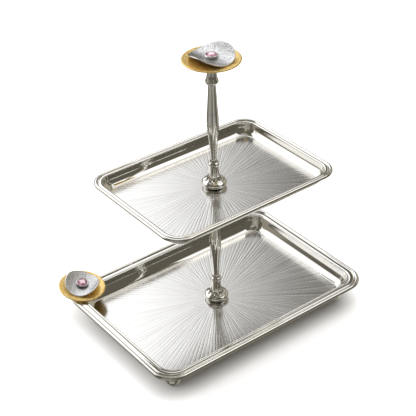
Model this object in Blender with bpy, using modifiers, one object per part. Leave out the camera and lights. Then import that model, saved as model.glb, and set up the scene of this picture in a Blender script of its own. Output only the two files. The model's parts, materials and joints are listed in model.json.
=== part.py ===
"""Two-tier cake stand: rectangular metal trays on faceted columns, with a petal finial and a petal ornament.

Metres, +Z up. The origin lies on the axis of the columns, on the table. The long sides run along X.
"""

import math

import bmesh
import bpy
from mathutils import Matrix, Vector

MM = 0.001
GAP = 0.3 * MM

# Driving dimensions
FOOT_RADIUS = 8.6 * MM
FOOT_CENTRE_HEIGHT = 7.2 * MM
SHEET = 1.2 * MM
LOWER_FLOOR = 15.0 * MM
TIER_SPACING = 160.0 * MM
UPPER_FLOOR = LOWER_FLOOR + TIER_SPACING
DISC_PLANE = UPPER_FLOOR + 159.0 * MM
THREAD_RADIUS = 2.0 * MM
CLEARANCE_HOLE = THREAD_RADIUS + 0.5 * MM
COLUMN_SIDES = 12
COLUMN_TWIST = math.radians(14.0)

# Each tray: half length, half width, corner radius, rim height, width of the flat rim, run from edge to floor
LOWER_TRAY = {
    "half_x": 150.0 * MM,
    "half_y": 105.6 * MM,
    "corner": 26.0 * MM,
    "depth": 18.0 * MM,
    "rim": 12.5 * MM,
    "floor_inset": 21.0 * MM,
}
UPPER_TRAY = {
    "half_x": 117.0 * MM,
    "half_y": 83.8 * MM,
    "corner": 23.0 * MM,
    "depth": 15.0 * MM,
    "rim": 8.0 * MM,
    "floor_inset": 15.0 * MM,
}
FOOT_X = LOWER_TRAY["half_x"] - 28.5 * MM
FOOT_Y = LOWER_TRAY["half_y"] - 29.2 * MM

# Each ornament, on its own axis from the plane of its disc's edge: sizes, then how the petal curls and leans
FINIAL = {
    "disc_radius": 32.5 * MM,
    "dish": 1.4 * MM,
    "petal_radius": 25.5 * MM,
    "petal_height": 1.2 * MM,
    "curl_radius": 36.2 * MM,
    "curl_axis": math.radians(99.0),
    "valley": -0.4 * MM,
    "lean": (0.04, 0.007),
    "gem_radius": 6.1 * MM,
}
CORNER = {
    "disc_radius": 28.0 * MM,
    "dish": 1.3 * MM,
    "petal_radius": 21.0 * MM,
    "petal_height": 2.2 * MM,
    "curl_radius": 34.2 * MM,
    "curl_axis": math.radians(31.7),
    "valley": 1.3 * MM,
    "lean": (0.01, 0.107),
    "gem_radius": 6.1 * MM,
}
CORNER_CENTRE = Vector((-128.5, 96.2, 37.7)) * MM
CORNER_LEAN = math.radians(7.6)
CORNER_LEAN_TOWARDS = Vector((0.5, -0.866, 0.0))
DISC_SHEET = 1.3 * MM
PETAL_SHEET = 0.9 * MM

# Mesh fineness
TURNED_STEPS = 28
SMALL_STEPS = 18
CORNER_STEPS = 5
SIDE_STEPS = 3
PETAL_RINGS = 5


def clear_scene():
    for obj in list(bpy.data.objects):
        bpy.data.objects.remove(obj, do_unlink=True)


def new_collection(name):
    collection = bpy.data.collections.new(name)
    bpy.context.scene.collection.children.link(collection)
    return collection


def principled(name, colour, roughness, metallic):
    material = bpy.data.materials.new(name)
    material.use_nodes = True
    shader = material.node_tree.nodes["Principled BSDF"]
    shader.inputs["Base Color"].default_value = (*colour, 1.0)
    shader.inputs["Roughness"].default_value = roughness
    shader.inputs["Metallic"].default_value = metallic
    return material


def add_object(name, data, material, parent=None):
    obj = bpy.data.objects.new(name, data)
    data.materials.append(material)
    STAND.objects.link(obj)
    if parent is not None:
        obj.parent = parent
    return obj


def add_empty(name, matrix):
    empty = bpy.data.objects.new(name, None)
    empty.matrix_world = matrix
    STAND.objects.link(empty)
    return empty


def smooth(mesh, angle=35.0):
    mesh.shade_smooth()
    mesh.set_sharp_from_angle(angle=math.radians(angle))


def arc(centre_x, centre_z, radius, start, end, count):
    """Points on an arc in the XZ plane, angles in degrees from +X."""
    points = []
    for i in range(count):
        angle = math.radians(start + (end - start) * i / (count - 1))
        points.append((centre_x + radius * math.cos(angle), centre_z + radius * math.sin(angle)))
    return points


def turned(name, profile, material, steps, bored=False, parent=None):
    """A turned piece: the profile (radius, height) runs down its outer side, and a bored one back up its bore."""
    mesh = bpy.data.meshes.new(name)
    edges = [(i, i + 1) for i in range(len(profile) - 1)]
    if bored:
        edges.append((len(profile) - 1, 0))
    mesh.from_pydata([(radius, 0.0, height) for radius, height in profile], edges, [])
    obj = add_object(name, mesh, material, parent)
    screw = obj.modifiers.new("turn", "SCREW")
    screw.axis = "Z"
    screw.angle = 2 * math.pi
    screw.steps = steps
    screw.render_steps = steps
    screw.use_smooth_shade = steps > COLUMN_SIDES
    screw.use_merge_vertices = True
    screw.merge_threshold = 1e-6
    return obj


def disc_profile(outer, inner, bottom, top):
    """The closed section of a flat ring."""
    return [(inner, top), (outer, top), (outer, bottom), (inner, bottom)]


def rounded_rectangle(half_x, half_y, radius):
    """Points anticlockwise round a rectangle with round corners, from the middle of its right side."""
    points = []
    centres = [(1, 1, 0), (-1, 1, 90), (-1, -1, 180), (1, -1, 270)]
    for sign_x, sign_y, start in centres:
        centre_x = sign_x * (half_x - radius)
        centre_y = sign_y * (half_y - radius)
        points += arc(centre_x, centre_y, radius, start, start + 90, CORNER_STEPS + 1)
    dense = []
    for i, first in enumerate(points):
        dense.append(first)
        second = points[(i + 1) % len(points)]
        if i % (CORNER_STEPS + 1) == CORNER_STEPS:
            for k in range(1, SIDE_STEPS):
                share = k / SIDE_STEPS
                dense.append(tuple(a + (b - a) * share for a, b in zip(first, second)))
    return dense


def tray_section(tray):
    """(inset, height) down the top surface of a tray, from the skirt of its rim to the edge of its floor."""
    bead = 2.5 * MM
    top = tray["depth"]
    rim = tray["rim"]
    floor_inset = tray["floor_inset"]
    cove = 4.5 * MM
    section = [(0.5 * MM, top - 3.6 * MM), (0.0, top - bead)]
    section += [(x, z) for x, z in arc(bead, top - bead, bead, 145, 45, 3)]
    section += [
        (2 * bead + 0.1 * MM, top - 1.5 * MM),
        (2 * bead + 0.7 * MM, top - 0.6 * MM),
        (rim - 0.8 * MM, top - 0.6 * MM),
        (rim, top - 1.6 * MM),
        (floor_inset - cove, cove * 0.75),
        (floor_inset - cove * 0.45, cove * 0.2),
        (floor_inset, 0.0),
    ]
    return section


def add_tray(name, tray, floor_height, material, parent=None):
    """A pressed sheet: rounded rectangles from rim to floor, then the floor to its round hole."""
    loops = []
    for inset, height in tray_section(tray):
        outline = rounded_rectangle(tray["half_x"] - inset, tray["half_y"] - inset, tray["corner"] - inset)
        loops.append([(x, y, floor_height + height) for x, y in outline])
    count = len(loops[0])
    hole = []
    for i in range(count):
        angle = 2 * math.pi * i / count + math.atan2(loops[-1][0][1], loops[-1][0][0])
        hole.append((CLEARANCE_HOLE * math.cos(angle), CLEARANCE_HOLE * math.sin(angle), floor_height))
    loops.append(hole)
    model = bmesh.new()
    rings = [[model.verts.new(point) for point in loop] for loop in loops]
    for outer, inner in zip(rings, rings[1:]):
        for i in range(count):
            j = (i + 1) % count
            model.faces.new((outer[i], outer[j], inner[j], inner[i]))
    mesh = bpy.data.meshes.new(name)
    model.to_mesh(mesh)
    model.free()
    smooth(mesh)
    obj = add_object(name, mesh, material, parent)
    shell = obj.modifiers.new("sheet", "SOLIDIFY")
    shell.thickness = SHEET
    shell.offset = -1.0
    shell.use_even_offset = True
    return obj


def add_feet(material):
    """Four ball feet, flattened where they meet the table and the tray."""
    top = LOWER_FLOOR - SHEET - GAP
    low = math.degrees(math.asin(FOOT_CENTRE_HEIGHT / FOOT_RADIUS))
    high = math.degrees(math.asin((top - FOOT_CENTRE_HEIGHT) / FOOT_RADIUS))
    profile = [(0.0, top)]
    profile += arc(0.0, FOOT_CENTRE_HEIGHT, FOOT_RADIUS, high, -low, 9)
    profile.append((0.0, 0.0))
    for side_y, y in (("front", -FOOT_Y), ("back", FOOT_Y)):
        for side_x, x in (("left", -FOOT_X), ("right", FOOT_X)):
            foot = turned(f"foot_{side_y}_{side_x}", profile, material, SMALL_STEPS)
            foot.location = (x, y, 0.0)


def scaled(points, base):
    """A profile given in millimetres above a height, in metres."""
    return [(radius * MM, base + height * MM) for radius, height in points]


def add_column(prefix, floor_height, neck_top, neck_bore, material):
    """One faceted column of three castings on the tie rod: base, baluster and neck."""
    bore = CLEARANCE_HOLE / MM
    base = [
        (4.9, 31.6), (5.8, 30.6), (6.7, 29.2), (6.3, 27.9), (5.9, 27.4), (5.7, 24.8), (5.9, 18.7),
        (6.4, 15.5), (7.3, 12.8), (8.9, 10.4), (9.9, 9.0), (11.6, 8.0), (13.6, 6.4), (14.4, 4.2),
        (13.8, 2.2), (12.2, 0.8), (10.0, 0.3), (bore, 0.3),
    ]
    baluster = [
        (4.7, 128.2), (4.7, 125.0), (6.1, 98.6), (6.7, 91.0), (6.95, 84.0), (6.95, 80.0), (6.4, 69.0),
        (5.1, 57.0), (4.1, 45.0), (3.7, 37.0), (3.8, 34.5), (4.6, 31.9), (bore, 31.9),
    ]
    neck_height = (neck_top - floor_height) / MM
    neck = [
        (5.2, neck_height), (5.3, 146.0), (5.8, 138.5), (6.6, 135.2), (7.4, 133.4), (7.6, 132.0),
        (7.2, 130.4), (5.6, 128.5), (bore, 128.5),
    ]
    if neck_bore > CLEARANCE_HOLE:
        wide = neck_bore / MM
        seat = neck_height - 11.5
        neck += [(bore, seat), (wide, seat), (wide, neck_height)]
    else:
        neck.append((bore, neck_height))
    pieces = (
        ("base", [(bore, 31.6)] + base),
        ("baluster", [(bore, 128.2)] + baluster),
        ("neck", neck),
    )
    for part_name, profile in pieces:
        piece = turned(
            f"{prefix}_column_{part_name}", scaled(profile, floor_height), material, COLUMN_SIDES, bored=True
        )
        piece.rotation_euler.z = COLUMN_TWIST


def add_tie_rod(bottom, top, material):
    chamfer = 0.5 * MM
    profile = [
        (0.0, top),
        (THREAD_RADIUS - chamfer, top),
        (THREAD_RADIUS, top - chamfer),
        (THREAD_RADIUS, bottom + chamfer),
        (THREAD_RADIUS - chamfer, bottom),
        (0.0, bottom),
    ]
    turned("tie_rod", profile, material, SMALL_STEPS)


def add_base_fasteners(rod_bottom, steel):
    """The washer and the hexagon nut under the lower tray."""
    washer_top = LOWER_FLOOR - SHEET - GAP
    washer_bottom = washer_top - 1.0 * MM
    nut_top = washer_bottom - GAP
    nut_height = 3.2 * MM
    nut_across_corners = 4.04 * MM
    washer = disc_profile(5.5 * MM, CLEARANCE_HOLE, washer_bottom, washer_top)
    turned("base_washer", washer, steel, SMALL_STEPS, bored=True)
    nut_bore = (THREAD_RADIUS + GAP) / math.cos(math.pi / 6)
    nut = disc_profile(nut_across_corners, nut_bore, nut_top - nut_height, nut_top)
    turned("base_nut", nut, steel, 6, bored=True)
    add_tie_rod(rod_bottom, DISC_PLANE - 8.0 * MM, steel)


def add_finial_boss(neck_top, steel, parent):
    """The threaded sleeve that clamps the stack, with the pin that carries disc, petal and stone."""
    head_bottom = neck_top + GAP - DISC_PLANE
    head_top = -FINIAL["dish"] - DISC_SHEET - GAP
    pin_top = FINIAL["petal_height"] + PETAL_SHEET / 2 + GAP
    thread_end = -7.4 * MM
    sleeve_bottom = -12.2 * MM
    profile = [
        (0.0, pin_top),
        (1.2 * MM, pin_top),
        (1.2 * MM, head_top),
        (4.7 * MM, head_top),
        (4.7 * MM, head_bottom),
        (3.4 * MM, head_bottom),
        (3.4 * MM, sleeve_bottom),
        (THREAD_RADIUS + GAP, sleeve_bottom),
        (THREAD_RADIUS + GAP, thread_end),
        (0.0, thread_end),
    ]
    turned("finial_boss", profile, steel, SMALL_STEPS, parent=parent)


def bent(point, ornament):
    """A point of the flat petal, after the petal is rolled about its valley and leaned."""
    x, y = point
    axis = ornament["curl_axis"]
    along = x * math.cos(axis) + y * math.sin(axis)
    across = -x * math.sin(axis) + y * math.cos(axis)
    radius = ornament["curl_radius"]
    turn = (across - ornament["valley"]) / radius
    turn_at_middle = -ornament["valley"] / radius
    across = radius * (math.sin(turn) - math.sin(turn_at_middle))
    height = radius * (math.cos(turn_at_middle) - math.cos(turn))
    x = along * math.cos(axis) - across * math.sin(axis)
    y = along * math.sin(axis) + across * math.cos(axis)
    lean_x, lean_y = ornament["lean"]
    return x, y, ornament["petal_height"] + height + lean_x * x + lean_y * y


def add_petal(name, ornament, material, parent):
    """A round sheet with a hole in its middle, rolled into a shallow trough."""
    model = bmesh.new()
    hole = 2.0 * MM
    rings = []
    for k in range(PETAL_RINGS):
        radius = hole + (ornament["petal_radius"] - hole) * k / (PETAL_RINGS - 1)
        ring = []
        for i in range(TURNED_STEPS):
            angle = 2 * math.pi * i / TURNED_STEPS
            flat = (radius * math.cos(angle), radius * math.sin(angle))
            ring.append(model.verts.new(bent(flat, ornament)))
        rings.append(ring)
    for inner, outer in zip(rings, rings[1:]):
        for i in range(TURNED_STEPS):
            j = (i + 1) % TURNED_STEPS
            model.faces.new((inner[i], outer[i], outer[j], inner[j]))
    mesh = bpy.data.meshes.new(name)
    model.to_mesh(mesh)
    model.free()
    smooth(mesh)
    obj = add_object(name, mesh, material, parent)
    shell = obj.modifiers.new("sheet", "SOLIDIFY")
    shell.thickness = PETAL_SHEET
    shell.offset = 0.0
    return obj


def petal_tilt(ornament):
    """The rotation that carries the ornament's axis to the petal's normal at its middle."""
    axis = ornament["curl_axis"]
    slope = math.tan(-ornament["valley"] / ornament["curl_radius"])
    lean_x, lean_y = ornament["lean"]
    normal = Vector((-lean_x + slope * math.sin(axis), -lean_y - slope * math.cos(axis), 1.0))
    return Vector((0.0, 0.0, 1.0)).rotation_difference(normal)


def add_disc(name, ornament, material, parent):
    """The round gold plate, dished towards its middle."""
    hole = 2.0 * MM
    radius = ornament["disc_radius"]
    dish = ornament["dish"]
    steps = 5
    top = []
    for k in range(steps + 1):
        r = hole + (radius - hole) * k / steps
        top.append((r, -dish * (1.0 - (r / radius) ** 2)))
    bottom = [(r, z - DISC_SHEET) for r, z in reversed(top)]
    turned(name, top + bottom, material, TURNED_STEPS + 8, bored=True, parent=parent)


def add_ornament(prefix, ornament, parent, gold, silver, stone):
    """A dished disc, a spacer, a curled petal and a domed stone in its bezel, stacked on one axis."""
    add_disc(f"{prefix}_disc", ornament, gold, parent)
    spacer_bottom = -ornament["dish"] + GAP
    spacer_top = ornament["petal_height"] - PETAL_SHEET / 2 - 3 * GAP
    spacer = disc_profile(3.0 * MM, 2.0 * MM, spacer_bottom, spacer_top)
    turned(f"{prefix}_spacer", spacer, silver, SMALL_STEPS, bored=True, parent=parent)
    add_petal(f"{prefix}_petal", ornament, silver, parent)
    gem = ornament["gem_radius"]
    wall = 1.3 * MM
    cup = 2.4 * MM
    seat = 0.8 * MM
    foot = 0.72 * gem
    bezel_profile = [
        (0.0, seat),
        (gem * 0.8, seat),
        (gem + GAP, seat + 0.9 * MM),
        (gem + GAP, cup),
        (gem + wall, cup - 0.3 * MM),
        (gem + wall, 1.1 * MM),
        (foot, 0.0),
        (0.0, 0.0),
    ]
    gem_low = seat + GAP
    girdle = cup - 0.5 * MM
    crown = 2.0 * MM
    gem_profile = [(0.0, girdle + crown)]
    for angle in (65, 42, 22, 0):
        radians = math.radians(angle)
        gem_profile.append((gem * math.cos(radians), girdle + crown * math.sin(radians)))
    gem_profile += [(gem * 0.76, gem_low), (0.0, gem_low)]
    tilt = petal_tilt(ornament)
    base = Vector((0.0, 0.0, ornament["petal_height"] + PETAL_SHEET / 2 + 2.4 * GAP))
    for part_name, profile, material in (("bezel", bezel_profile, silver), ("gem", gem_profile, stone)):
        piece = turned(f"{prefix}_{part_name}", profile, material, TURNED_STEPS - 8, parent=parent)
        piece.rotation_mode = "QUATERNION"
        piece.rotation_quaternion = tilt
        piece.location = base


def corner_frame():
    """The corner ornament's place: over the tray's corner, leaning a little inwards."""
    up = Vector((0.0, 0.0, 1.0))
    normal = up * math.cos(CORNER_LEAN) + CORNER_LEAN_TOWARDS * math.sin(CORNER_LEAN)
    turn = up.rotation_difference(normal).to_matrix().to_4x4()
    return Matrix.Translation(CORNER_CENTRE) @ turn


def add_corner_stem(frame, material):
    """The stem on the ornament's axis, from the rim up to the petal, and its foot on the rim."""
    rim_top = LOWER_FLOOR + LOWER_TRAY["depth"] - 0.6 * MM
    drop = (CORNER_CENTRE.z - rim_top) / math.cos(CORNER_LEAN)
    below = frame @ Vector((0.0, 0.0, -drop))
    start = frame @ Vector((0.0, 0.0, GAP - drop))
    end = frame @ Vector((0.0, 0.0, CORNER["petal_height"] + PETAL_SHEET / 2 + GAP))
    curve = bpy.data.curves.new("corner_stem", "CURVE")
    curve.dimensions = "3D"
    curve.bevel_depth = 1.3 * MM
    curve.bevel_resolution = 3
    curve.use_fill_caps = True
    spline = curve.splines.new("POLY")
    spline.points.add(1)
    for point, place in zip(spline.points, (start, end)):
        point.co = (*place, 1.0)
    add_object("corner_stem", curve, material)
    profile = disc_profile(3.2 * MM, 1.8 * MM, GAP, 1.2 * MM)
    foot = turned("corner_stem_foot", profile, material, SMALL_STEPS, bored=True)
    foot.location = (below.x, below.y, rim_top)


def build():
    polished = principled("polished_silver", (0.78, 0.77, 0.74), 0.12, 1.0)
    satin = principled("satin_silver", (0.74, 0.74, 0.73), 0.38, 1.0)
    gold = principled("satin_gold", (0.80, 0.56, 0.24), 0.36, 1.0)
    stone = principled("rose_stone", (0.85, 0.48, 0.58), 0.05, 0.0)
    steel = principled("plated_steel", (0.62, 0.62, 0.60), 0.30, 1.0)
    fibre = principled("clear_washer", (0.75, 0.74, 0.70), 0.50, 0.0)

    add_tray("lower_tray", LOWER_TRAY, LOWER_FLOOR, satin)
    add_feet(polished)

    washer_thickness = 0.6 * MM
    washer_top = UPPER_FLOOR - SHEET - GAP
    lower_neck_top = washer_top - washer_thickness - GAP
    upper_neck_top = DISC_PLANE - 3.8 * MM
    add_column("lower", LOWER_FLOOR, lower_neck_top, CLEARANCE_HOLE, polished)
    add_column("upper", UPPER_FLOOR, upper_neck_top, 3.8 * MM, polished)
    washer = disc_profile(6.2 * MM, CLEARANCE_HOLE, washer_top - washer_thickness, washer_top)
    turned("upper_tray_washer", washer, fibre, SMALL_STEPS, bored=True)
    add_base_fasteners(7.4 * MM, steel)

    tray_axis = add_empty("upper_tray_axis", Matrix.Translation((0.0, 0.0, UPPER_FLOOR)))
    upper_tray = add_tray("upper_tray", UPPER_TRAY, 0.0, satin, tray_axis)
    upper_tray.location = (0.0, 0.0, 0.0)

    finial_axis = add_empty("finial_axis", Matrix.Translation((0.0, 0.0, DISC_PLANE)))
    add_finial_boss(upper_neck_top, steel, finial_axis)
    add_ornament("finial", FINIAL, finial_axis, gold, satin, stone)

    frame = corner_frame()
    corner_axis = add_empty("corner_axis", frame)
    add_ornament("corner", CORNER, corner_axis, gold, satin, stone)
    add_corner_stem(frame, polished)


clear_scene()
STAND = new_collection("tiered_cake_stand")
build()
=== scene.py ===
"""The looks of the tiered cake stand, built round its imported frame. Metres, +Z up, columns at x = y = 0."""

import json
import math

import bmesh
import bpy
import numpy as np
from mathutils import Matrix, Vector


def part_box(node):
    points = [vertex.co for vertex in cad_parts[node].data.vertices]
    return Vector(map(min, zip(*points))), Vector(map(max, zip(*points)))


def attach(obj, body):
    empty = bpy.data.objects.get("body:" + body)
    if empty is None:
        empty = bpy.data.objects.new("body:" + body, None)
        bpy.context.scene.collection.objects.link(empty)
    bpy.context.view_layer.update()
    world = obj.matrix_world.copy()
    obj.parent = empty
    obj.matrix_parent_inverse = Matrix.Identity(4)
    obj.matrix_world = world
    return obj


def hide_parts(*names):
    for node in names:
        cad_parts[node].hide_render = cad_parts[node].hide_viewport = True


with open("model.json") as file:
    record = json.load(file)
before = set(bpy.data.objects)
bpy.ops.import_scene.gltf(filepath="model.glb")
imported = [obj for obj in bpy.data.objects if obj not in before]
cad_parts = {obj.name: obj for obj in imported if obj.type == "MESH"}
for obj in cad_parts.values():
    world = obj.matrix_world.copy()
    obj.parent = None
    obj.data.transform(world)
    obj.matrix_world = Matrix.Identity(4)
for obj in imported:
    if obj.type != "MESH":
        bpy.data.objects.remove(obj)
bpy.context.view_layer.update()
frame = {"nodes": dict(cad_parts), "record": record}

MM = 0.001
UP = Vector((0.0, 0.0, 1.0))
AXIS = (0.0, 0.0, 0.0)  # a point of the columns' axis

# Tray sheets: what the frame's boxes don't say. Bands are insets in millimetres, and the wall and cove
# are shares of the width from the rim to the foot and of the depth.
SHEET = 1.2 * MM
TRAYS = {
    "lower_tray": {
        "corner": 26.0 * MM,
        "bead": 2.4 * MM,
        "bands": ((5.3, 10.8), (11.1, 12.9)),
        "foot": 21.8 * MM,
        "wall": (
            (0.105, 0.60), (0.18, 0.511), (0.285, 0.406), (0.40, 0.30), (0.515, 0.217), (0.64, 0.139),
            (0.77, 0.075), (0.875, 0.03), (0.96, 0.006), (1.0, 0.0),
        ),
        "seed": 3,
    },
    "upper_tray": {
        "corner": 23.0 * MM,
        "bead": 2.1 * MM,
        "bands": ((4.5, 8.0),),
        "foot": 15.5 * MM,
        "wall": (
            (0.10, 0.55), (0.17, 0.43), (0.26, 0.35), (0.37, 0.26), (0.49, 0.185), (0.62, 0.12),
            (0.75, 0.065), (0.87, 0.025), (0.96, 0.005), (1.0, 0.0),
        ),
        "seed": 8,
    },
}
HOLE = 2.5 * MM
CORNER_TIGHTENING = 0.5  # how much the corner radius shrinks per metre of inset

# Rims, in millimetres: drops below the top of the bead, insets, and the rise of a band over its edges
GROOVE_DROP = 1.9
BAND_DROP = 1.6
WIDE_BAND_RISE = 0.9
NARROW_BAND_RISE = 0.8
WIDE_BAND = 3.0
BAND_ROUNDNESS = 0.7
STEP_INSET, STEP_DROP = 0.15, 2.4
WALL_TOP_INSET, WALL_TOP_DROP = 0.3, 3.2

# Undersides, in millimetres: the cove beyond the foot and above the sheet, the turn under the bands as
# (before their end, drop), the flat under the bands, and the bead's hollow as (insets in bead radii, drop)
UNDER_COVE = ((0.3, 0.0), (-2.6, 0.5), (-5.0, 2.8), (-6.9, 6.2))
UNDER_TURN = (0.9, 3.4)
UNDER_FLAT_INSET, UNDER_FLAT_GAP, UNDER_FLAT_DROP = 1.6, 0.2, 2.7
UNDER_BEAD = ((1.5, 1.9), (1.0, 1.5))
SKIRT_SHARE = 0.55

# Engraving: rays of each length, where they first double, and their waver as (share, cells, length)
RAY_POINTS = 1920
RAY_RINGS = 40
RAY_START = 9.5 * MM
RAY_DEPTH = 0.049 * MM
RAY_COUNTS = (80, 160, 320)
RAY_DOUBLING = 46.0 * MM
RAY_SHARPNESS = 4
RAY_SPREADING = (0.4, 48, 30.0 * MM)
RAY_WAVER = 28.0 * MM
RAY_MEAN_STRENGTH = 0.75
RAY_STRENGTH = (0.5, 90, 24.0 * MM)
RAY_RELIEF = (0.3, 64, 40.0 * MM)
RAY_FADE_IN = 12.0 * MM
RAY_FADE_OUT = 4.0 * MM
RAY_CENTRE = 0.15  # the share of its strength that relief keeps at the centre
FLOOR_INSET = 0.35 * MM
HUB_STEP = 0.5 * MM

# Mesh fineness of the trays' rims; the bead's arc is from and to in degrees, and its points
CORNER_STEPS = 20
SIDE_STEPS = 20
BEAD_ARC = (205, 18, 18)
BAND_POINTS = 9
WALL_STEPS = 4
UNDER_STEPS = 5

# Edges sharper than these angles, in degrees, stay sharp
SHEET_CREASE = 50
CASTING_CREASE = 60

# Ornaments, as in the frame: discs, curl and lean of the petals, and stones
DISC_SHEET = 1.3 * MM
DISC_RIM = 0.85 * MM
DISC_INSIDE = 0.1 * MM
PETAL_SHEET = 0.9 * MM
PETAL_RIM = 0.8 * MM
ORNAMENT_HOLE = 2.0 * MM
SETTING_SEAT = 0.72 * MM
DISC_POINTS, DISC_RINGS = 640, 26
PETAL_POINTS, PETAL_RINGS = 480, 24
COLLAR_POINTS, COLLAR_STEPS = 96, 4
RIM_ANGLES = (30, 60, 90, 120, 150)  # round the rim of a sheet, in degrees
RIM_SWELL = 4  # a sheet swells to its rim over this many rim radii
RING_CROWDING = 1.25  # above 1, the rings of a sheet crowd towards its rim

# Hammered relief: layers of rays as (count, length in metres, strength), the smooth margin of the edge, the
# width that it fades over, the radius where it is at its full depth, and that depth
DISC_HAMMERING = {
    "rays": ((110, 0.009, 1.0), (190, 0.005, 0.6)),
    "margin": 1.4 * MM,
    "fade": 1.0 * MM,
    "full_at": 20.0 * MM,
    "depth": 0.10 * MM,
}
PETAL_HAMMERING = {
    "rays": ((96, 0.007, 1.0), (170, 0.004, 0.6)),
    "margin": 1.0 * MM,
    "fade": 1.5 * MM,
    "full_at": 16.0 * MM,
    "depth": 0.08 * MM,
}

# The collar's profile, in millimetres beyond the stone's radius and above its seat
COLLAR = (
    (-1.708, 0.0), (0.75, 0.25), (1.3, 1.1), (1.05, 2.0), (0.5, 2.35), (0.02, 2.15), (-0.04, 1.3),
    (-1.22, 0.8),
)
# The cut stone: its lowest point and girdle above the seat, and its crown above the girdle
STONE_CLEARANCE = 0.1 * MM
STONE_HEIGHTS = (1.0 * MM, 1.9 * MM, 1.5 * MM)
STONE_CUTS = 8
# Shares of the stone's radius at the table, the star facets and the foot, and the star's share of the crown
TABLE_SHARE, STAR_SHARE, CULET_SHARE = 0.52, 0.80, 0.35
STAR_RISE = 0.62
GIRDLE_EDGE = 0.15 * MM
ORNAMENTS = {
    "finial": {
        "body": "finial",
        "disc_radius": 32.5 * MM,
        "dish": 1.4 * MM,
        "petal_radius": 25.5 * MM,
        "petal_height": 1.2 * MM,
        "curl_radius": 36.2 * MM,
        "curl_axis": math.radians(99.0),
        "valley": -0.4 * MM,
        "lean": (0.04, 0.007),
        "gem_radius": 6.1 * MM,
        "tilt": 0.0,
        "seed": 21,
    },
    "corner": {
        "body": "base",
        "disc_radius": 28.0 * MM,
        "dish": 1.3 * MM,
        "petal_radius": 21.0 * MM,
        "petal_height": 2.2 * MM,
        "curl_radius": 34.2 * MM,
        "curl_axis": math.radians(31.7),
        "valley": 1.3 * MM,
        "lean": (0.01, 0.107),
        "gem_radius": 6.1 * MM,
        "tilt": math.radians(7.6),
        "seed": 31,
    },
}
CORNER_LEAN_TOWARDS = Vector((0.5, -0.866, 0.0))

# Columns
COLUMN_SIDES = 12
COLUMN_TWIST = math.radians(14.0)

# (radius over the ridges, height above the tray's floor, share of facets), in millimetres
COLUMN_BASE = (
    (8.6, 0.3, 0.0), (11.2, 0.9, 0.0), (13.3, 2.3, 0.0), (14.4, 4.4, 0.0), (14.0, 6.5, 0.0),
    (12.6, 8.0, 0.3), (11.0, 8.9, 1.0), (9.4, 10.1, 1.6), (7.7, 12.6, 1.6), (6.6, 15.5, 1.4),
    (6.0, 18.7, 1.0), (5.7, 24.8, 1.0),
    (5.8, 27.0, 1.0), (6.5, 27.9, 0.7), (6.8, 29.0, 0.5), (6.2, 30.3, 0.5), (4.9, 31.5, 0.8),
)
COLUMN_BALUSTER = (
    (4.7, 31.9, 1.0), (3.8, 34.3, 1.0), (3.7, 37.0, 1.0), (4.1, 45.0, 1.0), (5.1, 57.0, 1.0),
    (6.35, 69.0, 1.0), (6.95, 79.0, 1.0), (6.95, 85.0, 1.0), (6.7, 91.0, 1.0), (6.1, 98.6, 1.0),
    (4.75, 122.0, 1.0), (4.7, 128.2, 1.0),
)
COLUMN_NECK = (
    (5.4, 128.5, 0.6), (7.0, 130.4, 0.5), (7.6, 131.7, 0.5), (7.5, 133.0, 0.7), (6.7, 135.2, 1.0),
    (5.8, 138.8, 1.0), (5.3, 146.0, 1.0),
)
COLUMN_TOP_RADIUS = 5.2
BOSS_POCKET = 3.8
POCKET_CLEARANCE = 0.1

PROFILE_STEPS = 5

# Facets: points on each, and as shares of the radius, how hollow they are and where a ridge is cut blunt
FACET_STEPS = 8
FACET_HOLLOW = 0.085
RIDGE = 0.992

# Feet
FOOT_MIDDLE = 7.2 * MM
FOOT_POINTS, FOOT_RINGS = 48, 26

# Metals as (bright colour, dull colour, roughness), the hammered ones with a share of frost, strokes round
# the circle and depth besides; stones as their colours where they are thin and thick
MIRROR_SILVER = ((0.90, 0.89, 0.86), (0.85, 0.835, 0.80), 0.035)
ENGRAVED_SILVER = ((0.72, 0.71, 0.69), (0.90, 0.895, 0.885))
COLLAR_SILVER = ((0.95, 0.94, 0.93), (0.88, 0.87, 0.86), 0.16)
NICKEL_STEEL = ((0.62, 0.62, 0.60), (0.54, 0.54, 0.52), 0.2)
GOLD = ((1.0, 0.83, 0.40), (0.90, 0.55, 0.13), 0.30, 0.08, 150, 0.26 * MM)
FROSTED_SILVER = ((0.88, 0.88, 0.89), (0.42, 0.42, 0.43), 0.33, 0.04, 120, 0.22 * MM)
NYLON = ((0.70, 0.69, 0.64), (0.80, 0.79, 0.76))
ROSE_STONE = ((0.86, 0.76, 0.79), (0.74, 0.57, 0.62))
# A darker copy of the stone for some facets: painted shade that stands in for the dark reflections of a cut
# stone
PAINTED_SHADE_ROSE_STONE = ((0.46, 0.20, 0.28), (0.26, 0.08, 0.15))

# Camera
CAMERA_TARGET = Vector((-9.4, 0.0, 148.1)) * MM
CAMERA_AZIMUTH = math.radians(-36.944)
CAMERA_ELEVATION = math.radians(33.570)
CAMERA_ROLL = math.radians(-1.401)
CAMERA_DISTANCE = 1.302
CAMERA_LENS = 98.8
SENSOR_WIDTH = 36.0
CLIPPING = (0.05, 20.0)

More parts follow.
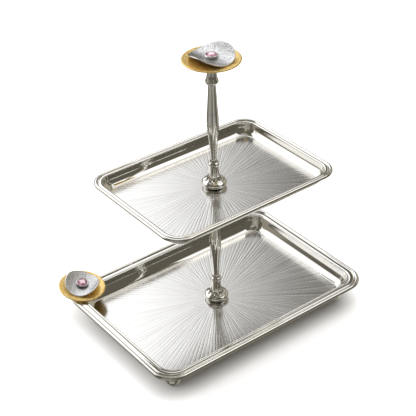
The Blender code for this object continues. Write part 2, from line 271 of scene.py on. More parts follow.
# Studio: the dim room that metal reflects, and its lit panels, each as (azimuth, elevation, half width,
# half height, soft edge) in degrees and the light that it adds
ROOM = (0.115, 0.105, 0.082)
PANELS = (
    ((75.0, 43.0, 15.0, 15.0, 14.0), (1.40, 1.42, 1.46)),
    ((124.0, 32.0, 22.0, 15.0, 10.0), (1.12, 1.12, 1.12)),
    ((112.0, 0.0, 20.0, 10.0, 14.0), (0.36, 0.35, 0.33)),
    ((0.0, 61.0, 48.0, 9.0, 11.0), (0.85, 0.84, 0.83)),
    ((-38.0, 51.0, 14.0, 6.0, 8.0), (0.88, 0.87, 0.85)),
    ((5.0, 14.0, 16.0, 18.0, 16.0), (0.30, 0.28, 0.22)),
    ((0.0, 90.0, 180.0, 8.0, 16.0), (0.30, 0.29, 0.27)),
    ((-150.0, 22.0, 16.0, 10.0, 14.0), (0.22, 0.21, 0.18)),
    ((0.0, -50.0, 34.0, 16.0, 18.0), (0.30, 0.28, 0.24)),
    ((22.0, -30.0, 16.0, 12.0, 12.0), (0.45, 0.44, 0.42)),
    ((118.0, -28.0, 18.0, 8.0, 16.0), (0.18, 0.17, 0.16)),
    ((-145.0, -38.0, 30.0, 12.0, 18.0), (0.30, 0.30, 0.30)),
)

# What the camera sees beyond the floor, the soft key light, and the floor's shade
BACKDROP = (0.95, 0.95, 0.95)
DOME_FROM = (104.0, 78.0)
DOME_SPREAD = 110.0
DOME_STRENGTH = 5.5
FLOOR_SHADE = 0.78
FLOOR_HALF = 6.0
FLOOR_DROP = 0.2 * MM


# ---------------------------------------------------------------- node helpers


class Nodes:
    """Short names for the nodes of one tree. A value is a socket or a constant."""

    def __init__(self, tree):
        self.tree = tree

    def plug(self, socket, value):
        if isinstance(value, bpy.types.NodeSocket):
            self.tree.links.new(value, socket)
        else:
            socket.default_value = value

    def node(self, kind, **inputs):
        made = self.tree.nodes.new(kind)
        for key, value in inputs.items():
            self.plug(made.inputs[key.replace("_", " ")], value)
        return made

    def math(self, operation, first, second=0.0):
        made = self.tree.nodes.new("ShaderNodeMath")
        made.operation = operation
        self.plug(made.inputs[0], first)
        self.plug(made.inputs[1], second)
        return made.outputs[0]

    def vector(self, operation, first, second=None):
        """A vector sum on one or two vectors; scaling takes a number as its second value."""
        made = self.tree.nodes.new("ShaderNodeVectorMath")
        made.operation = operation
        self.plug(made.inputs[0], first)
        if operation == "SCALE":
            self.plug(made.inputs["Scale"], second)
        elif second is not None:
            self.plug(made.inputs[1], second)
        return made.outputs["Value" if operation in ("LENGTH", "DOT_PRODUCT") else "Vector"]

    def noise(self, vector, scale, detail=2.0, roughness=0.5):
        made = self.node("ShaderNodeTexNoise", Scale=scale, Detail=detail, Roughness=roughness)
        self.plug(made.inputs["Vector"], vector)
        return made.outputs["Fac"]

    def spread(self, value, low, high, to_low=0.0, to_high=1.0, kind="LINEAR"):
        """A value carried from one range to another."""
        made = self.tree.nodes.new("ShaderNodeMapRange")
        made.interpolation_type = kind
        for name, number in (("From Min", low), ("From Max", high), ("To Min", to_low), ("To Max", to_high)):
            made.inputs[name].default_value = number
        self.plug(made.inputs["Value"], value)
        return made.outputs["Result"]

    def weighed(self, first, share, second):
        """The sum of two values, the first with a share and the second with the rest of it."""
        rest = self.math("MULTIPLY", second, 1.0 - share)
        return self.math("ADD", self.math("MULTIPLY", first, share), rest)

    def mix_colour(self, factor, first, second, blend="MIX"):
        """A colour mix. The first colour may be a socket; the second is a constant."""
        made = self.tree.nodes.new("ShaderNodeMix")
        made.data_type = "RGBA"
        made.blend_type = blend
        self.plug(made.inputs["Factor"], factor)
        is_socket = isinstance(first, bpy.types.NodeSocket)
        self.plug(made.inputs["A"], first if is_socket else (*first, 1.0))
        made.inputs["B"].default_value = (*second, 1.0)
        return made.outputs["Result"]


class Finish(Nodes):
    """The node tree of one new material."""

    def __init__(self, name):
        self.material = bpy.data.materials.new(name)
        self.material.use_nodes = True
        super().__init__(self.material.node_tree)
        self.shader = self.tree.nodes["Principled BSDF"]

    def set(self, **values):
        for key, value in values.items():
            self.plug(self.shader.inputs[key.replace("_", " ")], value)

    def bump(self, height, distance, strength=1.0):
        made = self.node("ShaderNodeBump", Strength=strength, Distance=distance, Height=height)
        self.plug(self.shader.inputs["Normal"], made.outputs["Normal"])

    def position(self):
        return self.tree.nodes.new("ShaderNodeTexCoord").outputs["Object"]

    def polar(self, centre, lines, along):
        """Noise space stretched along the rays from a centre: lines round it, and along cells per metre."""
        shifted = self.vector("SUBTRACT", self.position(), centre)
        flat = self.vector("MULTIPLY", shifted, (1.0, 1.0, 0.0))
        around = self.vector("SCALE", self.vector("NORMALIZE", flat), lines / (2 * math.pi))
        outwards = self.math("MULTIPLY", self.vector("LENGTH", flat), along)
        lift = self.node("ShaderNodeCombineXYZ", Z=outwards)
        return self.vector("ADD", around, lift.outputs["Vector"])


# ---------------------------------------------------------------- camera and studio


def add_camera():
    """The camera, placed by its azimuth, elevation and roll round a point of the stand."""
    cos_el, sin_el = math.cos(CAMERA_ELEVATION), math.sin(CAMERA_ELEVATION)
    cos_az, sin_az = math.cos(CAMERA_AZIMUTH), math.sin(CAMERA_AZIMUTH)
    back = Vector((sin_az * cos_el, -cos_az * cos_el, sin_el))
    level_right = Vector((cos_az, sin_az, 0.0))
    level_up = back.cross(level_right)
    right = level_right * math.cos(CAMERA_ROLL) + level_up * math.sin(CAMERA_ROLL)
    up = level_up * math.cos(CAMERA_ROLL) - level_right * math.sin(CAMERA_ROLL)
    data = bpy.data.cameras.new("camera")
    data.lens = CAMERA_LENS
    data.sensor_width = SENSOR_WIDTH
    data.clip_start, data.clip_end = CLIPPING
    camera = bpy.data.objects.new("camera", data)
    axes = Matrix((right, up, back)).transposed().to_4x4()
    camera.matrix_world = Matrix.Translation(CAMERA_TARGET + back * CAMERA_DISTANCE) @ axes
    bpy.context.scene.collection.objects.link(camera)
    bpy.context.scene.camera = camera


def direction(azimuth, elevation):
    """The unit vector at an azimuth anticlockwise from +X and an elevation, in degrees."""
    a, e = math.radians(azimuth), math.radians(elevation)
    return (math.cos(a) * math.cos(e), math.sin(a) * math.cos(e), math.sin(e))


def softbox(n, sky, azimuth, elevation, half_width, half_height, edge):
    """A soft-edged panel of light in the sky: 1 inside it, 0 beyond its edge. All in degrees."""
    ahead = n.vector("DOT_PRODUCT", sky, direction(azimuth, 0.0))
    left = n.vector("DOT_PRODUCT", sky, direction(azimuth + 90.0, 0.0))
    turn = n.math("ABSOLUTE", n.math("ARCTAN2", left, ahead))
    rise = n.math("ARCSINE", n.vector("DOT_PRODUCT", sky, UP))
    rise = n.math("ABSOLUTE", n.math("SUBTRACT", rise, math.radians(elevation)))
    outside, inside = math.radians(half_width + edge), math.radians(half_width)
    across = n.spread(turn, outside, inside, kind="SMOOTHSTEP")
    outside, inside = math.radians(half_height + edge), math.radians(half_height)
    upwards = n.spread(rise, outside, inside, kind="SMOOTHSTEP")
    return n.math("MULTIPLY", across, upwards)


def add_sky():
    """The room with its panels, as metal reflects them, and a pale backdrop for the camera."""
    world = bpy.data.worlds.new("studio")
    bpy.context.scene.world = world
    world.use_nodes = True
    n = Nodes(world.node_tree)
    sky = n.node("ShaderNodeTexCoord").outputs["Generated"]
    light = ROOM
    for place, colour in PANELS:
        light = n.mix_colour(softbox(n, sky, *place), light, colour, "ADD")
    from_camera = n.node("ShaderNodeLightPath").outputs["Is Camera Ray"]
    light = n.mix_colour(from_camera, light, BACKDROP)
    n.plug(n.tree.nodes["Background"].inputs["Color"], light)


def add_floor():
    """A plain pale floor that metal doesn't mirror."""
    mesh = bpy.data.meshes.new("floor")
    half = FLOOR_HALF
    corners = [(-half, -half, 0), (half, -half, 0), (half, half, 0), (-half, half, 0)]
    mesh.from_pydata(corners, [], [(0, 1, 2, 3)])
    n = Finish("floor_white")
    n.set(Base_Color=(FLOOR_SHADE, FLOOR_SHADE, FLOOR_SHADE, 1.0), Roughness=0.9, Specular_IOR_Level=0.0)
    mesh.materials.append(n.material)
    floor = bpy.data.objects.new("floor", mesh)
    floor.location.z = -FLOOR_DROP
    floor.visible_glossy = False
    bpy.context.scene.collection.objects.link(floor)


def add_key_light():
    """A very soft key light from high at the back, which metal doesn't mirror."""
    dome = bpy.data.lights.new("dome", "SUN")
    dome.energy = DOME_STRENGTH
    dome.angle = math.radians(DOME_SPREAD)
    light = bpy.data.objects.new("dome", dome)
    light.rotation_euler = Vector(direction(*DOME_FROM)).to_track_quat("Z", "Y").to_euler()
    light.visible_glossy = False
    bpy.context.scene.collection.objects.link(light)


# ---------------------------------------------------------------- mesh helpers


def add_piece(name, mesh, materials, body, replaced):
    """A finished mesh as a piece that rides on a body and stands for a node of the frame."""
    obj = bpy.data.objects.new(name, mesh)
    for material in materials:
        mesh.materials.append(material)
    bpy.context.scene.collection.objects.link(obj)
    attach(obj, body)
    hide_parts(replaced)
    return obj


def smooth(mesh, angle):
    """Smooth shading, except over edges sharper than an angle in degrees."""
    mesh.shade_smooth()
    mesh.set_sharp_from_angle(angle=math.radians(angle))


def arc(centre_x, centre_z, radius, start, end, count):
    """Points on an arc, angles in degrees from the first axis."""
    angles = np.radians(np.linspace(start, end, count))
    return [(centre_x + radius * math.cos(a), centre_z + radius * math.sin(a)) for a in angles]


def between(before, first, second, after, t):
    """The point at share t from the first to the second on a Catmull-Rom curve past all four."""
    linear = (second - before) * t
    square = (2 * before - 5 * first + 4 * second - after) * t**2
    cube = (3 * first - before - 3 * second + after) * t**3
    return 0.5 * (2 * first + linear + square + cube)


def curve_through(points, count):
    """A smooth curve through the points, with count steps between each two."""
    padded = [points[0]] + list(points) + [points[-1]]
    path = []
    for i in range(1, len(padded) - 2):
        around = [np.array(p, float) for p in padded[i - 1 : i + 3]]
        path += [tuple(between(*around, k / count)) for k in range(count)]
    path.append(tuple(points[-1]))
    return path


def skin(model, first, second, material_index=0):
    """Quads between two rings of vertices that have the same number."""
    count = len(first)
    for i in range(count):
        j = (i + 1) % count
        face = model.faces.new((first[i], first[j], second[j], second[i]))
        face.material_index = material_index


def ring_mesh(name, rings, closed, lip=()):
    """A mesh over rings of points. Closed joins the last ring to the first, else both ends are filled.

    The bands that start at the rings in lip take the second material.
    """
    model = bmesh.new()
    made = [[model.verts.new(p) for p in ring] for ring in rings]
    for k, (first, second) in enumerate(zip(made, made[1:])):
        skin(model, first, second, int(k in lip))
    if closed:
        skin(model, made[-1], made[0])
    else:
        model.faces.new(reversed(made[0]))
        model.faces.new(made[-1])
    bmesh.ops.recalc_face_normals(model, faces=model.faces)
    mesh = bpy.data.meshes.new(name)
    model.to_mesh(mesh)
    model.free()
    return mesh


def circle_ring(radius, height, count):
    """Points round a level circle on the columns' axis."""
    angles = [2 * math.pi * i / count for i in range(count)]
    return [(radius * math.cos(a), radius * math.sin(a), height) for a in angles]


# ---------------------------------------------------------------- materials


def polished_metal(name, bright, dull, roughness):
    """Mirror-polished plate: faint smears and hairline scratches."""
    n = Finish(name)
    place = n.position()
    smear = n.noise(place, scale=55.0, detail=3.0)
    hairs = n.noise(place, scale=900.0)
    n.set(
        Base_Color=n.mix_colour(smear, bright, dull),
        Metallic=1.0,
        Roughness=n.spread(smear, 0.3, 0.75, to_low=roughness * 0.7, to_high=roughness * 1.5),
    )
    n.bump(hairs, distance=0.001 * MM, strength=0.5)
    return n.material


def engraved_metal(name):
    """Satin plate with fine lines that run out from the column, over the engraved rays of the mesh."""
    n = Finish(name)
    fine = n.noise(n.polar(AXIS, lines=520.0, along=14.0), scale=1.0, detail=1.0, roughness=0.4)
    broad = n.noise(n.polar(AXIS, lines=210.0, along=10.0), scale=1.0, detail=1.0, roughness=0.4)
    cloud = n.noise(n.position(), scale=26.0)
    wear = n.weighed(fine, 0.65, broad)
    shade = n.spread(wear, 0.32, 0.68)
    patches = n.math("MULTIPLY", cloud, 0.3)
    n.set(
        Base_Color=n.mix_colour(shade, *ENGRAVED_SILVER),
        Metallic=1.0,
        Roughness=n.spread(n.math("ADD", wear, patches), 0.4, 0.9, to_low=0.17, to_high=0.24),
    )
    n.bump(wear, distance=0.008 * MM)
    return n.material


def hammered_metal(name, centre, bright, dull, roughness, frost, lines, depth):
    """Satin plate, chased outwards from a centre with short strokes; frost is how far it scatters light."""
    n = Finish(name)
    strokes = n.noise(n.polar(centre, lines, along=420.0), scale=1.0, roughness=0.6)
    grain = n.noise(n.position(), scale=1100.0)
    wear = n.weighed(strokes, 0.7, grain)
    n.set(
        Base_Color=n.mix_colour(n.spread(wear, 0.42, 0.58), dull, bright),
        Metallic=1.0 - frost,
        Roughness=n.spread(wear, 0.3, 0.7, to_low=roughness * 1.15, to_high=roughness * 0.85),
    )
    n.bump(wear, depth)
    return n.material


def rose_stone(name, thin, thick):
    """A clear rose stone with faint clouding."""
    n = Finish(name)
    cloud = n.noise(n.position(), scale=180.0)
    n.set(
        Base_Color=n.mix_colour(n.spread(cloud, 0.35, 0.65), thick, thin),
        Metallic=0.0,
        Roughness=0.03,
        IOR=1.72,
        Transmission_Weight=0.5,
        Coat_Weight=0.5,
        Coat_Roughness=0.02,
    )
    n.bump(cloud, distance=0.01 * MM, strength=0.3)
    return n.material


def nylon(name):
    """Clear nylon that has gone a little cloudy."""
    n = Finish(name)
    cloud = n.noise(n.position(), scale=300.0)
    n.set(
        Base_Color=n.mix_colour(cloud, *NYLON),
        Roughness=n.spread(cloud, 0.3, 0.7, to_low=0.42, to_high=0.6),
    )
    n.bump(cloud, distance=0.02 * MM, strength=0.4)
    return n.material


# ---------------------------------------------------------------- trays


def rounded_rectangle(half_x, half_y, radius):
    """Points anticlockwise round a rectangle with round corners."""
    corners = []
    for sign_x, sign_y, start in ((1, 1, 0), (-1, 1, 90), (-1, -1, 180), (1, -1, 270)):
        x, y = sign_x * (half_x - radius), sign_y * (half_y - radius)
        corners.append(arc(x, y, radius, start, start + 90, CORNER_STEPS + 1))
    outline = []
    for corner, following in zip(corners, corners[1:] + corners[:1]):
        outline += corner
        end, start = np.array(corner[-1]), np.array(following[0])
        outline += [tuple(end + (start - end) * k / SIDE_STEPS) for k in range(1, SIDE_STEPS)]
    return outline


def half_round(first, second, height, rise):
    """A raised band of the rim between two insets, in millimetres, rounded at its edges."""
    middle = (first + second) / 2
    half = (second - first) / 2
    points = []
    for angle in np.linspace(180, 0, BAND_POINTS):
        a = math.radians(angle)
        points.append((middle + half * math.cos(a), height + rise * math.sin(a) ** BAND_ROUNDNESS))
    return points


def rim_section(tray, depth):
    """(inset, height) in millimetres over a tray's top: bead, grooves, bands, wall and cove."""
    bead = tray["bead"] / MM
    top = depth / MM
    foot = tray["foot"] / MM
    section = arc(bead, top - bead, bead, *BEAD_ARC)
    last = 2 * bead
    for first, second in tray["bands"]:
        rise = WIDE_BAND_RISE if second - first > WIDE_BAND else NARROW_BAND_RISE
        section.append(((last + first) / 2, top - GROOVE_DROP))
        section += half_round(first, second, top - BAND_DROP, rise)
        last = second
    width = foot - last
    section.append((last + STEP_INSET, top - STEP_DROP))
    wall = [(last + WALL_TOP_INSET, top - WALL_TOP_DROP)]
    wall += [(last + width * across, top * up) for across, up in tray["wall"]]
    section += curve_through(wall, WALL_STEPS)
    return section


def under_section(tray, depth):
    """(inset, height) in millimetres under a tray, from the floor out to the inside of the skirt."""
    top = depth / MM
    foot = tray["foot"] / MM
    bead = tray["bead"] / MM
    bands_end = tray["bands"][-1][1]
    cove = [(foot + beyond, rise - SHEET / MM) for beyond, rise in UNDER_COVE]
    before, drop = UNDER_TURN
    section = curve_through(cove + [(bands_end - before, top - drop)], UNDER_STEPS)
    for inset in (bands_end - UNDER_FLAT_INSET, 2 * bead + UNDER_FLAT_GAP):
        section.append((inset, top - UNDER_FLAT_DROP))
    section += [(share * bead, top - drop) for share, drop in UNDER_BEAD]
    section.append((SKIRT_SHARE * bead, top - bead))
    return section


def streaks(angle, radius, count, length, seed):
    """Smooth noise that is long along the rays: count cells round the circle, length metres along."""
    generator = np.random.default_rng(seed)
    layers = int(math.ceil(radius.max() / length)) + 2
    lattice = generator.uniform(-1.0, 1.0, (count, layers))
    shift = generator.uniform(0.0, 1.0, count)
    across = angle / (2 * math.pi) * count
    cell = np.floor(across).astype(int)
    part = across - cell

    def column(index):
        index = index % count
        along = radius / length + shift[index]
        low = np.clip(np.floor(along).astype(int), 0, layers - 2)
        share = along - low
        share = share * share * (3 - 2 * share)
        return lattice[index, low] * (1 - share) + lattice[index, low + 1] * share

    blend = part * part * (3 - 2 * part)
    return column(cell) * (1 - blend) + column(cell + 1) * blend


def engraving(angle, radius, edge, seed):
    """Height of the engraved floor: rays that double as they spread, and fade at both their ends."""

    def uneven(amount, cells, length, draw):
        return amount * streaks(angle, radius, cells, length, seed + draw)

    spread = np.log2(radius / RAY_DOUBLING) + uneven(*RAY_SPREADING, 0)
    spread = np.clip(spread, 0.0, len(RAY_COUNTS) - 1.0)
    height = np.zeros_like(radius)
    for level, count in enumerate(RAY_COUNTS):
        share = np.clip(1.0 - np.abs(spread - level), 0.0, 1.0)
        phase = count * angle + uneven(1.0, count // 2, RAY_WAVER, level + 1)
        height -= share * (0.5 + 0.5 * np.cos(phase)) ** RAY_SHARPNESS
    height *= RAY_MEAN_STRENGTH + uneven(*RAY_STRENGTH, 7)
    height += uneven(*RAY_RELIEF, 8)
    fade_in = np.clip((radius - RAY_START) / RAY_FADE_IN, 0.0, 1.0)
    fade_out = np.clip((edge - radius) / RAY_FADE_OUT, 0.0, 1.0)
    return RAY_DEPTH * height * np.clip(radius / RAY_DOUBLING, RAY_CENTRE, 1.0) * fade_in * fade_out


def ray_to_rounded(angle, half_x, half_y, corner):
    """Distance from the centre to a rounded rectangle in each direction."""
    c, s = np.abs(np.cos(angle)), np.abs(np.sin(angle))
    flat = np.minimum(half_x / np.maximum(c, 1e-9), half_y / np.maximum(s, 1e-9))
    cx, cy = half_x - corner, half_y - corner
    along = c * cx + s * cy
    inside = along**2 - (cx**2 + cy**2 - corner**2)
    round_part = along + np.sqrt(np.maximum(inside, 0.0))
    hits_corner = (flat * c > cx) & (flat * s > cy)
    return np.where(hits_corner, round_part, flat)


def bridge(model, coarse, fine, material_index):
    """Faces between a coarse ring and a fine ring of evenly spaced directions, both anticlockwise."""
    count = len(fine)
    angles = [math.atan2(v.co.y, v.co.x) % (2 * math.pi) for v in coarse]
    nearest = [round(a / (2 * math.pi) * count) for a in angles]
    for i in range(len(coarse)):
        j = (i + 1) % len(coarse)
        start, end = nearest[i], nearest[j]
        if end < start:
            end += count
        facing = [fine[k % count] for k in range(end, start - 1, -1)]
        face = model.faces.new([coarse[i], coarse[j]] + facing)
        face.material_index = material_index


def engraved_rings(model, tray, half_x, half_y, floor):
    """Rings of vertices over the engraved floor, from the foot of the wall inwards."""
    angle = np.arange(RAY_POINTS) * 2 * math.pi / RAY_POINTS
    foot = tray["foot"] + FLOOR_INSET
    corner = tray["corner"] - CORNER_TIGHTENING * foot
    edge = ray_to_rounded(angle, half_x - foot, half_y - foot, corner)
    rings = []
    for share in np.linspace(1.0, 0.0, RAY_RINGS):
        radius = RAY_START + (edge - RAY_START) * share
        height = engraving(angle, radius, edge, tray["seed"])
        ring = zip(radius * np.cos(angle), radius * np.sin(angle), floor + height)
        rings.append([model.verts.new(p) for p in ring])
    return rings


def tray_mesh(name, tray, half_x, half_y, floor, depth):
    """One pressed sheet, as a closed skin: rim and wall, engraved floor, hole and underside."""
    polished, engraved = 0, 1
    model = bmesh.new()

    def rounded_ring(inset, height):
        corner = tray["corner"] - CORNER_TIGHTENING * inset
        outline = rounded_rectangle(half_x - inset, half_y - inset, corner)
        return [model.verts.new((x, y, floor + height)) for x, y in outline]

    def round_ring(radius, height):
        return [model.verts.new(p) for p in circle_ring(radius, height, len(rim[0]))]

    rim = [rounded_ring(inset * MM, height * MM) for inset, height in rim_section(tray, depth)]
    rays = engraved_rings(model, tray, half_x, half_y, floor)
    inner = round_ring(RAY_START - HUB_STEP, floor)
    hole_top = round_ring(HOLE, floor)
    hole_bottom = round_ring(HOLE, floor - SHEET)
    under = [rounded_ring(inset * MM, height * MM) for inset, height in under_section(tray, depth)]
    for first, second in zip(rim, rim[1:]):
        skin(model, first, second, polished)
    bridge(model, rim[-1], rays[0], engraved)
    for first, second in zip(rays, rays[1:]):
        skin(model, first, second, engraved)
    bridge(model, inner, rays[-1], engraved)
    skin(model, inner, hole_top, engraved)
    underside = [hole_top, hole_bottom] + under + [rim[0]]
    for first, second in zip(underside, underside[1:]):
        skin(model, first, second, polished)
    bmesh.ops.recalc_face_normals(model, faces=model.faces)
    mesh = bpy.data.meshes.new(name)
    model.to_mesh(mesh)
    model.free()
    return mesh


def add_trays(polished, engraved):
    """Both trays, each over its node's box."""
    for node, body in (("lower_tray", "base"), ("upper_tray", "upper_tray")):
        low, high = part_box(node)
        floor = low.z + SHEET
        mesh = tray_mesh(node, TRAYS[node], high.x, high.y, floor, high.z - floor)
        smooth(mesh, SHEET_CREASE)
        add_piece(f"{node}_shell", mesh, (polished, engraved), body, node)


# ---------------------------------------------------------------- columns and feet


def facet_factor(share):
    """Radii round one ring as shares of the ridge radius: slightly hollow facets between blunt ridges."""
    factors = []
    for i in range(COLUMN_SIDES * FACET_STEPS):
        across = abs((i % FACET_STEPS) / FACET_STEPS * 2 - 1)
        hollow = 1.0 - FACET_HOLLOW * (1.0 - across**2)
        factors.append(1.0 - share * (1.0 - min(hollow, RIDGE)))
    return factors


def column_mesh(name, profile, pocket, floor):
    """A faceted casting over its profile. A pocket is a second profile, sunk from the last ring."""
    count = COLUMN_SIDES * FACET_STEPS
    rings = []
    for radius, height, share in curve_through(profile, PROFILE_STEPS) + pocket:
        ring = []
        for i, factor in enumerate(facet_factor(max(share, 0.0))):
            angle = COLUMN_TWIST + 2 * math.pi * i / count
            r = radius * MM * factor
            ring.append((r * math.cos(angle), r * math.sin(angle), floor + height * MM))
        rings.append(ring)
    mesh = ring_mesh(name, rings, closed=False)
    smooth(mesh, CASTING_CREASE)
    return mesh


def add_columns(polished):
    """Each column's three castings, from the floor of the tray that it stands on."""
    for prefix, tray in (("lower", "lower_tray"), ("upper", "upper_tray")):
        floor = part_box(tray)[0].z + SHEET
        neck_node = f"{prefix}_column_neck"
        neck_top = (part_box(neck_node)[1].z - floor) / MM
        neck = COLUMN_NECK + ((COLUMN_TOP_RADIUS, neck_top, 1.0),)
        for part, profile in (("base", COLUMN_BASE), ("baluster", COLUMN_BALUSTER), ("neck", neck)):
            node = f"{prefix}_column_{part}"
            pocket = []
            if node == "upper_column_neck":
                seat = (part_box("finial_boss")[0].z - floor) / MM - POCKET_CLEARANCE
                pocket = [(BOSS_POCKET, neck_top, 0.0), (BOSS_POCKET, seat, 0.0)]
            mesh = column_mesh(node, profile, pocket, floor)
            add_piece(f"{node}_casting", mesh, (polished,), "base", node)


def add_feet(polished):
    """Ball feet with a flat where they stand and where they are soldered on."""
    for side in ("front_left", "front_right", "back_left", "back_right"):
        node = f"foot_{side}"
        low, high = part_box(node)
        centre = (low + high) / 2
        radius = (high.x - low.x) / 2
        middle = low.z + FOOT_MIDDLE
        start = math.degrees(math.asin((low.z - middle) / radius))
        end = math.degrees(math.asin((high.z - middle) / radius))
        rings = []
        for r, z in arc(0.0, middle, radius, start, end, FOOT_RINGS):
            rings.append([(centre.x + x, centre.y + y, z) for x, y, z in circle_ring(r, z, FOOT_POINTS)])
        mesh = ring_mesh(node, rings, closed=False)
        smooth(mesh, SHEET_CREASE)
        add_piece(f"{node}_ball", mesh, (polished,), "base", node)


# ---------------------------------------------------------------- ornaments


def bent(x, y, ornament):
    """A point of the flat petal, after the petal is rolled about its valley and leaned."""
    axis = ornament["curl_axis"]
    along = x * np.cos(axis) + y * np.sin(axis)
    across = -x * np.sin(axis) + y * np.cos(axis)
    radius = ornament["curl_radius"]
    turn = (across - ornament["valley"]) / radius
    turn_at_middle = -ornament["valley"] / radius
    across = radius * (np.sin(turn) - np.sin(turn_at_middle))
    height = radius * (np.cos(turn_at_middle) - np.cos(turn))
    x = along * np.cos(axis) - across * np.sin(axis)
    y = along * np.sin(axis) + across * np.cos(axis)
    lean_x, lean_y = ornament["lean"]
    return np.stack([x, y, ornament["petal_height"] + height + lean_x * x + lean_y * y], -1)


def petal_tilt(ornament):
    """The rotation that carries the ornament's axis to the petal's normal at its middle."""
    axis = ornament["curl_axis"]
    slope = math.tan(-ornament["valley"] / ornament["curl_radius"])
    lean_x, lean_y = ornament["lean"]
    normal = Vector((-lean_x + slope * math.sin(axis), -lean_y - slope * math.cos(axis), 1.0))
    return UP.rotation_difference(normal)


def ornament_frame(prefix):
    """The matrix of an ornament's disc plane, from the box of its disc."""
    low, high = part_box(f"{prefix}_disc")
    tilt = ORNAMENTS[prefix]["tilt"]
    normal = (UP * math.cos(tilt) + CORNER_LEAN_TOWARDS * math.sin(tilt)).normalized()
    centre = (low + high) / 2
    if tilt:
        centre += normal * DISC_SHEET / 2
    else:
        centre.z = high.z
    return Matrix.Translation(centre) @ UP.rotation_difference(normal).to_matrix().to_4x4()


def sheet_rings(surface, radius, hole, thickness, rim, count, steps):
    """Rings of a round sheet: its top from the hole outwards, a rounded rim, and its underside.

    The rim is the radius of the rounding. It is more than half the sheet's thickness, so the edge is swollen.
    """
    angle = np.arange(count) * 2 * math.pi / count
    c, s = np.cos(angle), np.sin(angle)
    small = 0.05 * MM

    def at(r):
        return surface(r * c, r * s, angle, r)

    def normals(r):
        outside = surface((r + small) * c, (r + small) * s, angle, r)
        inside = surface((r - small) * c, (r - small) * s, angle, r)
        turn = small / max(r, small)
        ahead = surface(r * np.cos(angle + turn), r * np.sin(angle + turn), angle, r)
        behind = surface(r * np.cos(angle - turn), r * np.sin(angle - turn), angle, r)
        n = np.cross(outside - inside, ahead - behind)
        return n / np.linalg.norm(n, axis=1, keepdims=True)

    shares = [1 - (1 - k / steps) ** RING_CROWDING for k in range(steps + 1)]
    radii = [hole + (radius - rim - hole) * share for share in shares]
    rings = [at(r) for r in radii]
    for step in RIM_ANGLES:
        a = math.radians(step)
        r = radius - rim + rim * math.sin(a)
        rings.append(at(r) - normals(r) * rim * (1 - math.cos(a)))
    for r in reversed(radii[::2]):
        near_rim = max(0.0, 1 - (radius - r) / (RIM_SWELL * rim))
        rings.append(at(r) - normals(r) * (thickness + (2 * rim - thickness) * near_rim))
    return rings


def placed(rings, matrix):
    """The rings, moved by a matrix."""
    return [[matrix @ Vector(p) for p in ring] for ring in rings]


def hammering(angle, r, edge, relief, seed):
    """Height of hammered rays along one ring; they die away before the burnished rim."""
    radius = np.full_like(angle, r)
    rays = np.zeros_like(angle)
    for layer, (count, length, strength) in enumerate(relief["rays"]):
        rays += strength * streaks(angle, radius, count, length, seed + layer)
    fade = np.clip((edge - relief["margin"] - radius) / relief["fade"], 0.0, 1.0)
    return relief["depth"] * rays * fade * np.clip(radius / relief["full_at"], RAY_CENTRE, 1.0)


def disc_surface(ornament, seed):
    """The dished disc with hammered rays."""
    edge, dish = ornament["disc_radius"], ornament["dish"]

    def surface(x, y, angle, r):
        height = -dish * (1.0 - (np.hypot(x, y) / edge) ** 2)
        return np.stack([x, y, height + hammering(angle, r, edge, DISC_HAMMERING, seed)], -1)

    return surface


def petal_surface(ornament, seed):
    """The curled petal with fine rays."""

    def surface(x, y, angle, r):
        points = bent(x, y, ornament)
        points[:, 2] += hammering(angle, r, ornament["petal_radius"], PETAL_HAMMERING, seed)
        return points

    return surface


def faceted_stone(radius, low, girdle, crown):
    """A cut stone: table, star and crown facets, a girdle, and a shallow pavilion.

    Some facets take the second material, a darker copy of the stone that is painted shade, so that the stone
    seems to sparkle unevenly.
    """
    count = STONE_CUTS
    model = bmesh.new()

    def ring(r, z, turn, number):
        points = []
        for i in range(number):
            a = 2 * math.pi * (i + turn) / number
            points.append(model.verts.new((r * math.cos(a), r * math.sin(a), z)))
        return points

    table = ring(radius * TABLE_SHARE, girdle + crown, 0.0, count)
    middle = ring(radius * STAR_SHARE, girdle + crown * STAR_RISE, 0.5, count)
    edge = ring(radius, girdle + GIRDLE_EDGE, 0.0, 2 * count)
    edge_low = ring(radius, girdle, 0.0, 2 * count)
    foot = ring(radius * CULET_SHARE, low, 0.5, count)
    model.faces.new(table)
    model.faces.new(reversed(foot))
    skin(model, edge_low, edge)
    for i in range(count):
        j = (i + 1) % count
        first, half, second = edge[2 * i], edge[2 * i + 1], edge[(2 * i + 2) % (2 * count)]
        # Material 1 is painted shade, darker facets in place of a cut stone's dark reflections; material 0
        # keeps the stone's own colour
        model.faces.new((table[i], middle[i], table[j])).material_index = i % 2
        model.faces.new((first, half, middle[i])).material_index = 1
        model.faces.new((half, second, middle[i])).material_index = int(i % 4 > 0)
        model.faces.new((table[j], middle[i], second, middle[j])).material_index = 1
        first, half, second = edge_low[2 * i], edge_low[2 * i + 1], edge_low[(2 * i + 2) % (2 * count)]
        model.faces.new((first, foot[i], half))
        model.faces.new((half, foot[i], second))
        model.faces.new((foot[i], foot[j], second))
    bmesh.ops.recalc_face_normals(model, faces=model.faces)
    mesh = bpy.data.meshes.new("stone")
    model.to_mesh(mesh)
    model.free()
    return mesh


def add_disc(prefix, gold):
    """The dished gold disc that everything else in an ornament stands on."""
    ornament = ORNAMENTS[prefix]
    surface = disc_surface(ornament, ornament["seed"])
    edge = ornament["disc_radius"] - DISC_INSIDE
    rings = sheet_rings(surface, edge, ORNAMENT_HOLE, DISC_SHEET, DISC_RIM, DISC_POINTS, DISC_RINGS)
    mesh = ring_mesh(f"{prefix}_disc", placed(rings, ornament_frame(prefix)), closed=True)
    smooth(mesh, SHEET_CREASE)
    add_piece(f"{prefix}_disc_plate", mesh, (gold,), ornament["body"], f"{prefix}_disc")


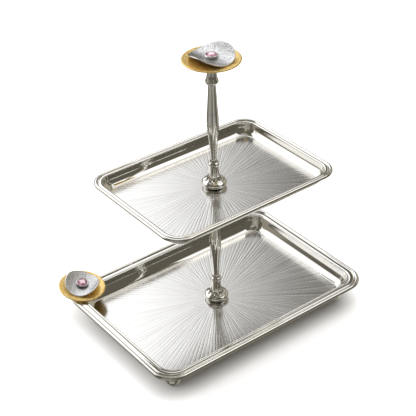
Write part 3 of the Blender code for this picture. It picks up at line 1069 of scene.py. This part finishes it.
def add_petal(prefix, silver, bright):
    """The petal, frosted on top and polished over its edge and underneath."""
    ornament = ORNAMENTS[prefix]
    body = ornament["body"]
    surface = petal_surface(ornament, ornament["seed"] + 5)
    edge = ornament["petal_radius"]
    rings = sheet_rings(surface, edge, ORNAMENT_HOLE, PETAL_SHEET, PETAL_RIM, PETAL_POINTS, PETAL_RINGS)
    lip = range(PETAL_RINGS, len(rings) - 1)
    mesh = ring_mesh(f"{prefix}_petal", placed(rings, ornament_frame(prefix)), closed=True, lip=lip)
    smooth(mesh, SHEET_CREASE)
    add_piece(f"{prefix}_petal_plate", mesh, (silver, bright), body, f"{prefix}_petal")


def add_setting(prefix, bright, stones):
    """The stone in its collar, standing square on the middle of the petal."""
    ornament = ORNAMENTS[prefix]
    body = ornament["body"]
    gem = ornament["gem_radius"]
    seat = Vector((0.0, 0.0, ornament["petal_height"] + PETAL_SHEET / 2 + SETTING_SEAT))
    setting = ornament_frame(prefix) @ Matrix.Translation(seat) @ petal_tilt(ornament).to_matrix().to_4x4()
    profile = curve_through(COLLAR, COLLAR_STEPS)
    rings = [circle_ring(gem + beyond * MM, height * MM, COLLAR_POINTS) for beyond, height in profile]
    mesh = ring_mesh(f"{prefix}_bezel", placed(rings, setting), closed=False)
    smooth(mesh, CASTING_CREASE)
    add_piece(f"{prefix}_bezel_collar", mesh, (bright,), body, f"{prefix}_bezel")
    mesh = faceted_stone(gem - STONE_CLEARANCE, *STONE_HEIGHTS)
    mesh.transform(setting)
    add_piece(f"{prefix}_gem_stone", mesh, stones, body, f"{prefix}_gem")


# ---------------------------------------------------------------- main

bpy.context.scene.view_settings.view_transform = "Standard"
add_camera()
add_sky()
add_floor()
add_key_light()

polished = polished_metal("mirror_silver", *MIRROR_SILVER)
engraved = engraved_metal("engraved_silver")
steel = polished_metal("nickel_steel", *NICKEL_STEEL)
clear = nylon("clear_nylon")
stone = rose_stone("rose_stone", *ROSE_STONE)
# A darker copy of the rose stone, painted as shade on some of its facets
painted_shade_stone = rose_stone("rose_stone_painted_shade", *PAINTED_SHADE_ROSE_STONE)
collar = polished_metal("collar_silver", *COLLAR_SILVER)

add_trays(polished, engraved)
hammered = {}
for prefix in ORNAMENTS:
    centre = ornament_frame(prefix).translation
    gold = hammered_metal(f"{prefix}_gold", centre, *GOLD)
    frosted = hammered_metal(f"{prefix}_frosted_silver", centre, *FROSTED_SILVER)
    hammered[prefix] = gold, frosted
    add_disc(prefix, gold)
    add_petal(prefix, frosted, collar)
    add_setting(prefix, collar, (stone, painted_shade_stone))
add_columns(polished)
add_feet(polished)

# The frame's own nodes take the finish of their slot: some, such as the tie rod, are seen as they are
gold, frosted = hammered["finial"]
FINISH = {
    "polished_silver": polished,
    "petal_silver": frosted,
    "satin_gold": gold,
    "rose_stone": stone,
    "plated_steel": steel,
    "clear_washer": clear,
    "tray_silver": polished,
}
for entry in frame["record"]["subparts"]:
    node = frame["nodes"][entry["node"]]
    node.data.materials.clear()
    node.data.materials.append(FINISH[entry["material_slot"]])
